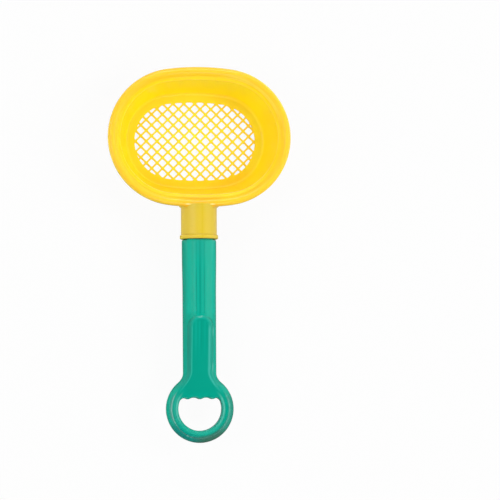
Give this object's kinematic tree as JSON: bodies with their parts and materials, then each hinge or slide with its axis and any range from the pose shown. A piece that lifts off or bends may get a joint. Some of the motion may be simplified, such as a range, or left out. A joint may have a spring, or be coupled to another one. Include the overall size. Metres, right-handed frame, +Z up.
{
  "type": "sand sieve",
  "caption": "Toy sand sieve: oval basin with a meshed floor and a round socket that takes a push-fit tube handle ending in a finger ring.",
  "frame": {"origin": "centre of the bounding box, at the level of the basin floor's underside", "axes": "+Z points up out of the basin's opening, +Y points from the handle to the basin, +X across the basin"},
  "size_m": [0.115, 0.235, 0.034],
  "materials": {
    "yellow_plastic": "gloss moulded, thin and slightly translucent",
    "green_plastic": "gloss moulded, slightly translucent"
  },
  "bodies": {
    "head": {"sieve_head": "yellow_plastic"},
    "handle": {"handle": "green_plastic"}
  },
  "joints": [
    {"name": "handle_pull", "type": "slide", "parent": "head", "child": "handle", "axis": [0, -1, 0], "range_m": [0, 0.025]}
  ]
}
